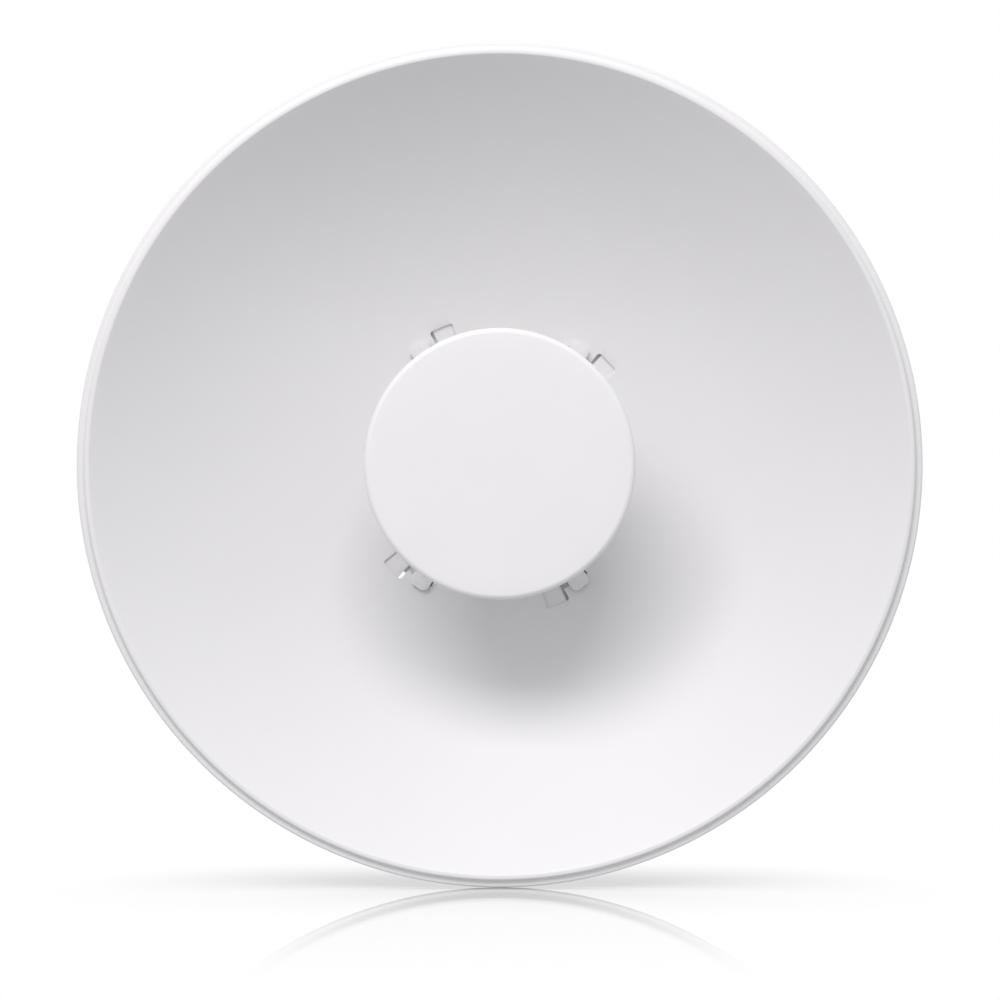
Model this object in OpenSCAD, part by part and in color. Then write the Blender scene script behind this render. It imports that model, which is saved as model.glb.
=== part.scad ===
// Outdoor wireless bridge: a centre-fed parabolic reflector with a radio in its feed, held by a
// twist-lock hub on a tilting pole mount. Lengths are in millimetres and angles in degrees.
// The pole runs along Z through the origin and the reflector looks along -Y.
// The modules draw in the reflector's own frame: X to the right, Y up and Z forward from the vertex.

/* [Reflector] */
// Outer diameter of the rim
dish_d = 420; // [390:1:450]
// Focal length of the parabola
focal_len = 118; // [110:1:130]
// Thickness of the sheet
sheet_t = 1; // [0.8:0.1:1.3]
// Flat width of the ring at the front of the rim
rim_ring_w = 0.8; // [0.5:0.1:3]
// Flat width of the set-back flange outside the ring
rim_flange_w = 1; // [0.5:0.1:4]
// Straight height of the step between the ring and the flange
rim_step_h = 0.2; // [0.1:0.1:4]
// Fillet at the foot of the step
rim_fillet_r = 1.6; // [1:0.1:3]
// Depth of the hem behind the flange
rim_hem = 1.4; // [0.5:0.1:5]

/* [Bayonet] */
// Angle of the first hook from the horizontal
hook_angle = 55.5; // [50:0.5:60]
// Turn of the reflector from locked to open
unlock_turn = 11.4; // [11:0.1:13]
// Width of a hook's head
hook_w = 10.4; // [9:0.1:11]
// Radius that the hooks reach to
hook_out_r = 76.5; // [75.5:0.1:77.5]
// Thickness of a hook's head
hook_t = 2.4; // [1.5:0.1:3.5]
// Corner radius of a hook's head
hook_corner_r = 3.2; // [1:0.1:4]
// Inner radius of a hook's stem
stem_in_r = 69.4; // [69:0.1:70]
// Radial thickness of a hook's stem
stem_t = 2.6; // [2:0.1:3]
// Corner radius of the openings in the sheet
opening_corner_r = 1.3; // [0.5:0.1:2]
// Depth of the pocket in the flange beside each hook
pocket_depth = 2; // [1:0.1:2.2]

/* [Hub] */
// Diameter of the hub's flange
hub_d = 172; // [168:1:176]
// Thickness of the flange
flange_t = 3; // [2.5:0.1:3.5]
// Thickness of the skirt
skirt_t = 2.5; // [2:0.1:3]
// Depth of the housing behind the vertex
hub_depth = 40; // [39:0.5:44]
// Outer diameter at the back of the housing
hub_back_d = 132; // [126:1:138]
// Thickness of the rear cover's plate
rear_t = 3; // [2:0.1:4]
// Number of ribs behind the flange
rib_count = 12; // [6:1:18]

/* [Feed] */
// Diameter of the feed can
can_d = 132.5; // [126:0.5:138]
// Height of the can's front above the vertex
can_front = 112; // [108:0.5:118]
// Depth of the feed cap
cap_depth = 24; // [20:0.5:28]
// Wall of the cap and the tube
feed_wall = 2.3; // [1.8:0.1:3]
// Radius of the cap's front edge
cap_edge_r = 2.7; // [2.4:0.1:4]
// Diameter of the neck where it meets the hub
neck_base_d = 72; // [71:0.5:76]
// Diameter of the neck under the can
neck_top_d = 66; // [65:0.5:70]
// Diameter of the spigot in the hub
spigot_d = 60; // [59:0.5:62]
// Wall of the spigot
spigot_wall = 4; // [3.5:0.1:4.5]
// Length of the spigot behind the vertex
spigot_len = 36; // [35:0.5:37]

/* [Radio] */
// Thickness of the circuit boards
board_t = 1.6; // [1:0.1:2]
// Width of the radio board
board_w = 50; // [49:0.5:51]
// Width of the board's tail behind the feed tube
tail_w = 36; // [34:0.5:38]
// Height of the shield can
shield_h = 3.8; // [3:0.1:6]
// Height of the heat spreader's fins
fin_h = 10; // [6:0.5:12]
// Number of fins
fin_count = 7; // [4:1:8]

/* [Latch and buttons] */
// Travel of the release button
release_travel = 2.2; // [2:0.1:2.4]
// Thickness of the latch yoke
yoke_t = 3; // [2.5:0.1:3.2]
// Travel of the reset button
reset_travel = 0.5; // [0.3:0.1:0.6]
// Hole in the grommet for the cable
cable_d = 7; // [5:0.5:8]

/* [Tilt joint] */
// Distance from the rear cover to the tilt pivot
pivot_standoff = 27; // [26:0.5:34]
// Thickness of the tilt ears
ear_t = 2.5; // [2:0.1:3]
// Tilt each way
tilt_max = 20; // [10:1:20]
// Distance from the pivot to the lock bolt
lock_r = 20; // [19:0.5:21]
// Diameter of the pivot bolt
pivot_bolt_d = 8; // [6:0.5:8]
// Diameter of the lock bolt
lock_bolt_d = 6; // [5:0.5:6]

/* [Pole clamp] */
// Outer diameter of the pole
pole_d = 48; // [42:0.5:52]
// Thickness of the pole bracket's plate
plate_t = 3; // [2.5:0.1:4]
// Height of the pole bracket
bracket_h = 67; // [64:1:76]
// Distance from the tilt pivot to the bracket's web
pivot_to_web = 16.5; // [16:0.5:24]
// Height of the clamp jaw
jaw_h = 34; // [28:1:44]
// Spacing of the clamp bolts
bolt_spacing = 90; // [88:1:96]
// Diameter of the clamp bolts
clamp_bolt_d = 8; // [6:0.5:8]
// Length of the clamp bolts
clamp_bolt_len = 80; // [78:1:100]
// Width of the bracket and the jaw
clamp_w = 112; // [110:1:120]

/* [Fits] */
// Gap between pieces that lie against each other
fit_gap = 0.3; // [0.2:0.05:0.4]
// Radial clearance of a bolt in its hole
bolt_gap = 0.05; // [0.02:0.01:0.1]
// Radial clearance between the pole and its saddle
pole_gap = 0.15; // [0:0.05:0.2]

/* [Hidden] */
$fn = 96;
eps = 0.01;
cut = 1;        // how far a cutting shape runs past what it cuts

// Colours
coat_white = "#f1f1f2";
shell_white = "#ececee";
zinc = "#b9bcc0";
dark_rubber = "#2b2c2e";
board_green = "#1d5b3a";
copper = "#b8733a";

// Reflector
rim_r = dish_d/2;
bend_r = sheet_t + 0.3;
step_r = rim_r - bend_r - rim_flange_w - rim_fillet_r;
bowl_edge_guess = step_r - bend_r - rim_ring_w;
bowl_edge_r = bowl_edge_guess - bend_r*sin(dish_angle(bowl_edge_guess));
rim_angle = dish_angle(bowl_edge_r);
ring_z = dish_z(bowl_edge_r) + bend_r*(1 - cos(rim_angle));
flange_z = ring_z - bend_r - rim_step_h - rim_fillet_r;
bowl_steps = 20;
bend_steps = 4;

// Bayonet: angles are counted from the middle of a hook, anticlockwise from the front
hook_angles = [hook_angle, 180 - hook_angle, 180 + hook_angle, 360 - hook_angle];
stem_out_r = stem_in_r + stem_t;
head_half = asin(hook_w/2/hook_out_r);
stem_half = head_half - 0.5;
opening_near = -(unlock_turn - head_half - 0.7);
opening_far = -(unlock_turn + head_half + 0.7);
opening_r = hook_out_r + 2.1;
slot_end = head_half + 0.9;
hook_top_z = dish_z(stem_in_r) + fit_gap + hook_t/2;
window_near = opening_near - 1.2;
hook_base_z = dish_z(stem_in_r) - sheet_t - fit_gap - flange_t;
window_out_r = opening_r + 0.6;

// Hub
hub_r = hub_d/2;
seat_depth = sheet_t + fit_gap;
hub_hole_r = spigot_d/2 + fit_gap;
socket_wall = 2.7;
socket_r = hub_hole_r + socket_wall;
boss_z = 2;
boss_r = neck_base_d/2 + 2.5;
dish_hole_r = boss_r + 1.5;
skirt_r = window_out_r + 1 + skirt_t;
skirt_turn_z = -10;
hub_back_r = hub_back_d/2;
lip_t = 2.5;
screw_x = 44;
screw_y = 22;
screw_d = 4;
screw_len = 14;
daylight_r = 74.4;

// Port bay
bay_half_w = 22.5;
bay_wall = 2;
bay_out_x = bay_half_w + bay_wall;
bay_z = -hub_depth - rear_t;
bay_depth = 18;
bay_back = bay_z - bay_depth;
bay_top = 24;
bay_split = 8;
bay_bottom = -62;
rail_lip = 1.8;
rail_h = 4.2;
rail_t = 2;
flange_w = 2;
port_window_half = 20;
cable_z = bay_back + 9;
cable_r = cable_d/2;
grommet_r = cable_r + 2;
pipe_xs = [-9, -3, 3, 9];
pipe_w = 2.5;
pipe_y = 15;

// Feed
can_r = can_d/2;
cap_back = can_front - cap_depth;
rim_lap = 6;
sub_z = can_front - 8;
sub_post_r = 38;
lap_r = can_r - feed_wall - fit_gap;
neck_top_z = 72;
ledge_z = 76;
ledge_r = neck_top_d/2 + 1;
neck_in_r = neck_top_d/2 - feed_wall;
spigot_r = spigot_d/2;
spigot_in_r = spigot_r - spigot_wall;
groove_r = spigot_r - 2;
seal_z = -8.5;
seal_r = 1.05;
cap_seal_r = 0.9;

// Latch
latch_z = -23;
yoke_in_r = socket_r + fit_gap + release_travel + 0.9;
yoke_out_r = yoke_in_r + 4.5;
tongue_half_w = 7;
spring_seat_y = -yoke_out_r - 11;
spring_r = 2.8;
skirt_slope = (skirt_r - hub_back_r)/(hub_depth + skirt_turn_z);
pad_top = skirt_r + skirt_slope*(latch_z - skirt_turn_z) + 4.5;
pad_h = 13;
pad_half_w = 9;
pad_half_t = 5;
stem_half_w = 5;
stem_top = pad_top - 9;

// Radio
tail_z = -57;
board_screw_x = [-20, 20];
board_screw_z = [3, 63];
chip_w = 18;
chip_t = 1.6;
shield_w = 36;
shield_z0 = 12;
shield_z1 = 58;
shield_wall = 0.5;
spreader_w = 46;
spreader_t = 3;
jack_z = -49;
jack_half_w = 8;
jack_h = 16.2;
jack_len = 15;
reset_x = 13.5;
reset_r = 1.7;

// Tilt joint and pole bracket
washer_t = 1.6;
lip_floor = 2;
pivot_z = bay_z - pivot_standoff;
web_z = pivot_z - pivot_to_web;
clamp_r = pole_d/2 + pole_gap;
pole_z = web_z - plate_t - lip_floor - clamp_r;
ear_x = 32.8;
ear_out_x = ear_x + ear_t;
side_in_x = ear_x - fit_gap - plate_t + 0.5;
side_t = plate_t - 0.5;
base_z = bay_z - ear_t;
lock_y = lock_r;
bolt_x = bolt_spacing/2;
jaw_front_z = pole_z - clamp_r - lip_floor;
jaw_back_z = jaw_front_z - plate_t;
saddle_reach = 12;
lip_half_w = 34;

function dish_z(r) = r*r/(4*focal_len);
function dish_angle(r) = atan(r/(2*focal_len));
// Point under radius r of the bowl's face, at depth d square to the face
function under(r, d) = [r + d*sin(dish_angle(r)), dish_z(r) - d*cos(dish_angle(r))];
function arc(c, r, a0, a1) =
    [for (i = [0:bend_steps]) c + r*[cos(a0 + (a1 - a0)*i/bend_steps), sin(a0 + (a1 - a0)*i/bend_steps)]];
function reversed(l) = [for (i = [len(l) - 1:-1:0]) l[i]];

// The sheet's outline from the centre hole to the hem, at depth d under the front face
function sheet_line(d) = concat(
    [for (i = [0:bowl_steps - 1]) under(dish_hole_r + (bowl_edge_r - dish_hole_r)*i/bowl_steps, d)],
    arc([bowl_edge_r + bend_r*sin(rim_angle), ring_z - bend_r], bend_r - d, 90 + rim_angle, 90),
    arc([step_r - bend_r, ring_z - bend_r], bend_r - d, 90, 0),
    arc([step_r + rim_fillet_r, flange_z + rim_fillet_r], rim_fillet_r + d, 180, 270),
    arc([rim_r - bend_r, flange_z - bend_r], bend_r - d, 90, 0),
    [[rim_r - d, flange_z - bend_r - rim_hem]]
);

// From the reflector's frame to the pole's
module on_pole() {
    translate([0, pole_z, 0]) rotate([90, 0, 0]) children();
}

// Part of a ring between two angles and two heights
module sector(r0, r1, a0, a1, z0, z1) {
    rotate([0, 0, a0]) rotate_extrude(angle = a1 - a0) translate([r0, z0]) square([r1 - r0, z1 - z0]);
}

module box(x0, x1, y0, y1, z0, z1) {
    translate([x0, y0, z0]) cube([x1 - x0, y1 - y0, z1 - z0]);
}

// Plate from z0 to z1 with its four corners rounded
module round_plate(x0, x1, y0, y1, z0, z1, r) {
    box(x0 + r, x1 - r, y0, y1, z0, z1);
    box(x0, x1, y0 + r, y1 - r, z0, z1);
    for (x = [x0 + r, x1 - r], y = [y0 + r, y1 - r]) translate([x, y, z0]) cylinder(r = r, h = z1 - z0);
}

// Rod along X from x0 to x1
module rod_x(r, x0, x1, y, z) {
    translate([x0, y, z]) rotate([0, 90, 0]) cylinder(r = r, h = x1 - x0);
}

// Rod along Y from y0 to y1
module rod_y(r, y0, y1, x, z) {
    translate([x, y0, z]) rotate([-90, 0, 0]) cylinder(r = r, h = y1 - y0);
}

module both_sides() {
    children();
    mirror([1, 0, 0]) children();
}

module dish_reflector() color(coat_white) on_pole() difference() {
    rotate_extrude() polygon(concat(sheet_line(0), reversed(sheet_line(sheet_t))));
    for (a = hook_angles) rotate([0, 0, a]) {
        sector(stem_in_r - 0.4, stem_out_r + fit_gap, opening_near - eps, slot_end, 0, 30);
        opening();
    }
}

// Opening that a hook's head passes through, with its two outer corners rounded
module opening() {
    corner_turn = atan(opening_corner_r/(opening_r - opening_corner_r));
    sector(stem_in_r - 0.4, opening_r - opening_corner_r, opening_far, opening_near, 0, 30);
    sector(stem_in_r - 0.4, opening_r, opening_far + corner_turn, opening_near - corner_turn, 0, 30);
    for (a = [opening_far + corner_turn, opening_near - corner_turn])
        rotate([0, 0, a]) translate([opening_r - opening_corner_r, 0, 0])
            cylinder(r = opening_corner_r, h = 30);
}

// Ring that follows the bowl, between two depths under its face
module bowl_ring(r0, r1, d0, d1) {
    rs = [for (i = [0:8]) r0 + (r1 - r0)*i/8];
    rotate_extrude() polygon(concat([for (r = rs) under(r, d0)], reversed([for (r = rs) under(r, d1)])));
}

module hook() {
    sector(stem_in_r, stem_out_r, -stem_half, stem_half, hook_base_z, hook_top_z);
    intersection() {
        bowl_ring(stem_in_r, hook_out_r + 1, -fit_gap, -fit_gap - hook_t);
        union() {
            box(stem_in_r - 2, hook_out_r - hook_corner_r, -hook_w/2, hook_w/2, 0, 30);
            box(stem_in_r - 2, hook_out_r, -hook_w/2 + hook_corner_r, hook_w/2 - hook_corner_r, 0, 30);
            for (y = [-1, 1])
                translate([hook_out_r - hook_corner_r, y*(hook_w/2 - hook_corner_r), 0])
                    cylinder(r = hook_corner_r, h = 30);
        }
    }
}

module skirt() {
    rotate_extrude() polygon([
        [skirt_r, under(skirt_r, seat_depth + 1)[1]], [skirt_r, skirt_turn_z], [hub_back_r, -hub_depth],
        [hub_back_r - skirt_t, -hub_depth], [skirt_r - skirt_t, skirt_turn_z],
        [skirt_r - skirt_t, under(skirt_r - skirt_t, seat_depth + 1)[1]]
    ]);
}

// Rib behind the flange, from the socket to the skirt
module hub_rib() {
    half = 0.9;
    rotate([0, 0, -half]) rotate_extrude(angle = 2*half) polygon(concat(
        [[socket_r - 1, -12], [skirt_r - skirt_t/2, -12]],
        [for (i = [4:-1:0]) under(boss_r + (skirt_r - skirt_t/2 - boss_r)*i/4, seat_depth + flange_t/2)],
        [[socket_r - 1, 0]]
    ));
}

// Pocket in the flange's face, round a hook's stem
module hook_pocket() intersection() {
    bowl_ring(stem_in_r - 2, window_out_r + 2, seat_depth - cut, seat_depth + pocket_depth);
    sector(stem_in_r, window_out_r, window_near, slot_end, 0, 30);
}

module hub() color(shell_white) on_pole() {
    difference() {
        union() {
            bowl_ring(boss_r, hub_r, seat_depth, seat_depth + flange_t);
            skirt();
            rotate_extrude() translate([hub_hole_r, -spigot_len + 2]) square([socket_wall, spigot_len]);
            rotate_extrude() translate([hub_hole_r, -2]) square([boss_r + 1 - hub_hole_r, boss_z + 2]);
            for (i = [0:rib_count - 1]) rotate([0, 0, 360*(i + 0.5)/rib_count]) hub_rib();
            for (x = [-screw_x, screw_x], y = [-screw_y, screw_y]) translate([x, y, -hub_depth])
                cylinder(r = screw_d/2 + 2.5, h = hub_depth + 1.5);
            box(-6, 6, spring_seat_y - 3, spring_seat_y, latch_z - 4.5,
                dish_z(spring_seat_y) - seat_depth - flange_t/2);
        }
        for (a = hook_angles) rotate([0, 0, a]) hook_pocket();
        // Drain hole through the lower left pocket, and its notch in the skirt
        rotate([0, 0, hook_angles[2]]) {
            sector(daylight_r, window_out_r, window_near, opening_near + 1, -4 - eps, 30);
            sector(daylight_r, hub_r, window_near - 1.5, opening_near + 2, -hub_depth, -4);
        }
        // Ways for the yoke's tongue and for the release button
        box(-tongue_half_w - fit_gap, tongue_half_w + fit_gap, -socket_r - 1, -hub_hole_r + 2,
            latch_z - yoke_t/2 - fit_gap, latch_z + yoke_t/2 + fit_gap);
        box(-pad_half_w - fit_gap, pad_half_w + fit_gap, pad_top - pad_h - 3, hub_r,
            latch_z - pad_half_t - fit_gap, latch_z + pad_half_t + fit_gap);
        for (x = [-screw_x, screw_x], y = [-screw_y, screw_y]) translate([x, y, -hub_depth - cut])
            cylinder(r = screw_d/2 + bolt_gap, h = screw_len);
    }
    for (a = hook_angles) rotate([0, 0, a]) hook();
}

module rear_cover() color(shell_white) on_pole() difference() {
    union() {
        rotate_extrude() polygon([[0, bay_z], [hub_back_r - 1.2, bay_z], [hub_back_r, bay_z + 1.2],
            [hub_back_r, -hub_depth], [0, -hub_depth]]);
        rotate_extrude() translate([hub_back_r - skirt_t - fit_gap - lip_t, -hub_depth - eps])
            square([lip_t, 4]);
        // Fixed hood over the top of the port bay
        difference() {
            round_plate(-bay_half_w - bay_wall, bay_half_w + bay_wall, bay_split + fit_gap - 4, bay_top,
                bay_back, bay_z + eps, 3);
            box(-bay_half_w, bay_half_w, bay_split - 6, bay_top - bay_wall, bay_back + bay_wall,
                bay_z + cut);
            box(-bay_half_w - 9, bay_half_w + 9, bay_split - 6, bay_split + fit_gap, bay_back - cut,
                bay_z + cut);
        }
        // Rails that the port cover's flanges slide in
        both_sides() {
            box(bay_out_x + flange_w + fit_gap, bay_out_x + flange_w + fit_gap + rail_t, bay_bottom + 2,
                bay_split, bay_z - rail_h, bay_z + eps);
            box(bay_out_x + fit_gap, bay_out_x + flange_w + fit_gap + rail_t, bay_bottom + 2, bay_split,
                bay_z - rail_h, bay_z - rail_h + rail_lip);
        }
    }
    box(-port_window_half, port_window_half, -30, 12, bay_z - eps, -hub_depth + cut);
    for (x = pipe_xs)
        box(x - pipe_w/2 - 0.15, x + pipe_w/2 + 0.15, pipe_y - pipe_w - 0.1, pipe_y + 0.1, bay_back - cut,
            bay_back + bay_wall + cut);
    for (x = [-screw_x, screw_x], y = [-screw_y, screw_y]) translate([x, y, bay_z - cut])
        cylinder(r = screw_d/2 + bolt_gap, h = rear_t + 2*cut);
}

module port_cover() color(shell_white) on_pole() difference() {
    union() {
        difference() {
            box(-bay_out_x, bay_out_x, bay_bottom, bay_split, bay_back, bay_z - fit_gap);
            box(-bay_half_w, bay_half_w, bay_bottom + bay_wall, bay_split + cut, bay_back + bay_wall,
                bay_z);
        }
        both_sides() box(bay_out_x - eps, bay_out_x + flange_w, bay_bottom + 2.5, bay_split,
            bay_z - rail_h + rail_lip + fit_gap, bay_z - fit_gap);
        // Finger ridges on the back
        for (i = [0:4]) translate([0, bay_bottom + 10 + 4*i, 0])
            box(-12, 12, 0, 1.4, bay_back - 0.8, bay_back + eps);
    }
    rod_y(grommet_r, bay_bottom - cut, bay_bottom + bay_wall + cut, 0, cable_z);
}

module cable_grommet() color(dark_rubber) on_pole() translate([0, bay_bottom, cable_z]) rotate([-90, 0, 0])
    rotate_extrude() polygon([
        [cable_r, -2.2], [grommet_r + 1.3, -2.2], [grommet_r + 1.7, -1.8], [grommet_r + 1.7, 0],
        [grommet_r, 0], [grommet_r, bay_wall], [grommet_r + 1.3, bay_wall],
        [grommet_r + 1.3, bay_wall + 1], [grommet_r + 0.7, bay_wall + 1.6], [cable_r, bay_wall + 1.6]
    ]);

module feed_cap() color(shell_white) on_pole() {
    rotate_extrude() polygon(concat(
        [[0, can_front]],
        arc([can_r - cap_edge_r, can_front - cap_edge_r], cap_edge_r, 90, 0),
        [[can_r, cap_back], [can_r - feed_wall, cap_back], [can_r - feed_wall, can_front - feed_wall - 1],
         [can_r - feed_wall - 1, can_front - feed_wall], [0, can_front - feed_wall]]
    ));
    for (a = [0:60:300]) rotate([0, 0, a]) translate([sub_post_r, 0, sub_z + 1.5])
        cylinder(r = 2.5, h = can_front - feed_wall - sub_z - 1.5 + eps);
}

module feed_tube() color(shell_white) on_pole() {
    rotate_extrude() polygon([
        [spigot_in_r, -spigot_len], [spigot_r - 0.8, -spigot_len], [spigot_r, -spigot_len + 0.8],
        [spigot_r, latch_z - yoke_t/2 - 0.5], [groove_r, latch_z - yoke_t/2 - 0.5],
        [groove_r, latch_z + yoke_t/2 + 0.5], [spigot_r, latch_z + yoke_t/2 + 0.5],
        [spigot_r, seal_z - 1.3], [spigot_r + fit_gap - 2*seal_r, seal_z - 1.3],
        [spigot_r + fit_gap - 2*seal_r, seal_z + 1.3], [spigot_r, seal_z + 1.3],
        [spigot_r, boss_z], [neck_base_d/2, boss_z], [neck_base_d/2, boss_z + 4],
        [neck_top_d/2, neck_top_z], [ledge_r + feed_wall, ledge_z + 2],
        [can_r - 5, cap_back - 5], [can_r - 1, cap_back - 3.4], [can_r, cap_back - 2.4], [can_r, cap_back],
        [lap_r, cap_back], [lap_r, cap_back + rim_lap], [lap_r - feed_wall, cap_back + rim_lap],
        [lap_r - feed_wall, cap_back - 0.8], [can_r - 6, cap_back - 2.2], [ledge_r, ledge_z + 4.5],
        [ledge_r, ledge_z], [neck_in_r, ledge_z], [neck_in_r, neck_top_z],
        [neck_base_d/2 - feed_wall, boss_z + 4.5], [spigot_in_r, boss_z - 2]
    ]);
    // Rails that hold the radio board
    both_sides() for (y = [-1, 1]) translate([0, y*(board_t/2 + 0.2 + 0.75), 0]) rotate([90, 0, 0])
        translate([0, 0, -0.75]) linear_extrude(1.5) polygon([
            [board_w/2 - 1.2, -spigot_len + 5], [spigot_in_r + 1, -spigot_len + 5],
            [spigot_in_r + 1, boss_z - 1.5], [neck_base_d/2 - feed_wall + 1, boss_z + 4.5],
            [neck_in_r + 1, neck_top_z], [board_w/2 - 1.2, neck_top_z]
        ]);
}

module cap_seal() color(dark_rubber) on_pole() rotate_extrude()
    translate([can_r - feed_wall - cap_seal_r - 0.05, cap_back + rim_lap + cap_seal_r + 0.05])
        circle(r = cap_seal_r, $fn = 24);

module spigot_seal() color(dark_rubber) on_pole() rotate_extrude()
    translate([spigot_r + fit_gap - seal_r, seal_z]) circle(r = seal_r, $fn = 24);

module sub_reflector() color(zinc) on_pole() rotate_extrude() polygon([
    [0, sub_z - 3], [14, sub_z - 3], [20, sub_z], [52, sub_z], [52, sub_z - 4], [53.5, sub_z - 4],
    [53.5, sub_z + 1.5], [19.4, sub_z + 1.5], [13.4, sub_z - 1.5], [0, sub_z - 1.5]
]);

module radiator_board() color(board_green) on_pole() difference() {
    translate([0, 0, ledge_z]) cylinder(r = ledge_r - 0.2, h = board_t);
    for (x = board_screw_x) translate([x, 0, ledge_z - cut]) cylinder(r = 1.6, h = board_t + 2*cut);
}

module dipole_radiator() color(copper) on_pole() {
    top = sub_z - 5;
    foot = ledge_z + board_t;
    translate([0, 0, foot]) difference() {
        cylinder(r = 4.5, h = top - foot);
        translate([0, 0, -cut]) cylinder(r = 3.5, h = top - foot + 2*cut);
    }
    for (a = [0, 90, 180, 270]) rotate([0, 0, a]) box(4, 17, -1.5, 1.5, top - 4, top - 2.8);
}

module radio_board() color(board_green) on_pole() difference() {
    union() {
        box(-board_w/2, board_w/2, -board_t/2, board_t/2, -spigot_len + 3, ledge_z - 0.2);
        box(-tail_w/2, tail_w/2, -board_t/2, board_t/2, tail_z, -spigot_len + 3 + eps);
    }
    for (x = board_screw_x, z = board_screw_z) rod_y(1.3, -board_t, board_t, x, z);
}

// Processor, memory, radio chip and the transformer behind them
module radio_chips() color("#26272a") on_pole() translate([0, board_t/2, 0]) {
    box(-chip_w/2, chip_w/2, 0, chip_t, shield_z0 + 6, shield_z0 + 6 + chip_w);
    box(-chip_w*0.8, -chip_w*0.1, 0, chip_t*0.75, shield_z1 - 16, shield_z1 - 6);
    box(chip_w*0.2, chip_w*0.65, 0, chip_t*0.75, shield_z1 - 16, shield_z1 - 8);
    box(-chip_w*0.65, chip_w*0.55, 0, 6, -20, -4);
}

module shield_can() color(zinc) on_pole() difference() {
    box(-shield_w/2, shield_w/2, board_t/2, board_t/2 + shield_h, shield_z0, shield_z1);
    box(-shield_w/2 + shield_wall, shield_w/2 - shield_wall, board_t/2 - cut,
        board_t/2 + shield_h - shield_wall, shield_z0 + shield_wall, shield_z1 - shield_wall);
    for (i = [-2:2], j = [0:4])
        rod_y(1, board_t/2 + 1, board_t/2 + shield_h + cut, i*shield_w/6, shield_z0 + 6 + 8*j);
}

module heat_spreader() color("#c9ccd0") on_pole() difference() {
    union() {
        box(-spreader_w/2, spreader_w/2, -board_t/2 - spreader_t, -board_t/2, -2, shield_z1 + 10);
        for (i = [0:fin_count - 1]) translate([spreader_w*0.4*(2*i/(fin_count - 1) - 1), 0, 0])
            box(-0.8, 0.8, -board_t/2 - spreader_t - fin_h, -board_t/2 - spreader_t + eps, 8,
                shield_z1 + 4);
    }
    for (x = board_screw_x, z = board_screw_z) rod_y(1.3, -board_t/2 - spreader_t - cut, 0, x, z);
}

module board_screws() color("silver") on_pole() for (x = board_screw_x, z = board_screw_z) {
    rod_y(1.25, -board_t/2 - spreader_t, board_t/2 + eps, x, z);
    rod_y(2.3, board_t/2, board_t/2 + 1.5, x, z);
}

module end_cap() color(dark_rubber) on_pole() difference() {
    translate([0, 0, -spigot_len]) cylinder(r = spigot_in_r - 0.1, h = 2.5);
    box(-tail_w/2 - 0.2, tail_w/2 + 0.2, -board_t/2 - 0.2, board_t/2 + 0.2, -spigot_len - cut, 0);
}

module ethernet_jack() color("#9da0a4") on_pole() difference() {
    box(-jack_half_w, jack_half_w, -board_t/2 - jack_h, -board_t/2, jack_z - jack_len/2, jack_z + jack_len/2);
    box(-5.9, 5.9, -board_t/2 - jack_h - cut, -board_t/2 - 3.5, jack_z - 4, jack_z + 4.2);
    box(-3, 3, -board_t/2 - jack_h - cut, -board_t/2 - 3.5, jack_z - 5.8, jack_z - 3.9);
}

module reset_switch() color(dark_rubber) on_pole() difference() {
    box(reset_x - 3, reset_x + 3, -board_t/2 - 3.6, -board_t/2, jack_z - 3, jack_z + 3);
    rod_y(reset_r + fit_gap, -board_t/2 - 3.6 - cut, -board_t/2 - 1, reset_x, jack_z);
}

module reset_button() color("#d9dadb") on_pole()
    rod_y(reset_r, -board_t/2 - 6, -board_t/2 - 1.3 - reset_travel, reset_x, jack_z);

// Each pipe stands over its lamp on the board and turns back through the hood
module light_pipes() color("#e8f0f4") on_pole() for (x = pipe_xs) {
    box(x - pipe_w/2, x + pipe_w/2, board_t/2, pipe_y, bay_back + 5, bay_back + 5 + pipe_w);
    box(x - pipe_w/2, x + pipe_w/2, pipe_y - pipe_w, pipe_y, bay_back - 0.6, bay_back + 5 + pipe_w);
}

module latch_yoke() color("#c8c9cc") on_pole() difference() {
    union() {
        translate([0, 0, latch_z - yoke_t/2]) cylinder(r = yoke_out_r, h = yoke_t);
        box(-stem_half_w, stem_half_w, yoke_out_r - 2, stem_top, latch_z - yoke_t/2, latch_z + yoke_t/2);
    }
    difference() {
        translate([0, 0, latch_z - yoke_t]) cylinder(r = yoke_in_r, h = 2*yoke_t);
        box(-tongue_half_w, tongue_half_w, -yoke_in_r - cut, -groove_r - 0.9, latch_z - 2*yoke_t,
            latch_z + 2*yoke_t);
    }
}

module release_button() color("#8d9196") on_pole() difference() {
    round_plate(-pad_half_w, pad_half_w, pad_top - pad_h, pad_top, latch_z - pad_half_t,
        latch_z + pad_half_t, 1.5);
    box(-stem_half_w, stem_half_w, pad_top - pad_h - cut, stem_top, latch_z - yoke_t/2,
        latch_z + yoke_t/2);
}

module release_spring() color(zinc) on_pole()
    rod_y(spring_r, spring_seat_y, -yoke_out_r, 0, latch_z);

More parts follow.
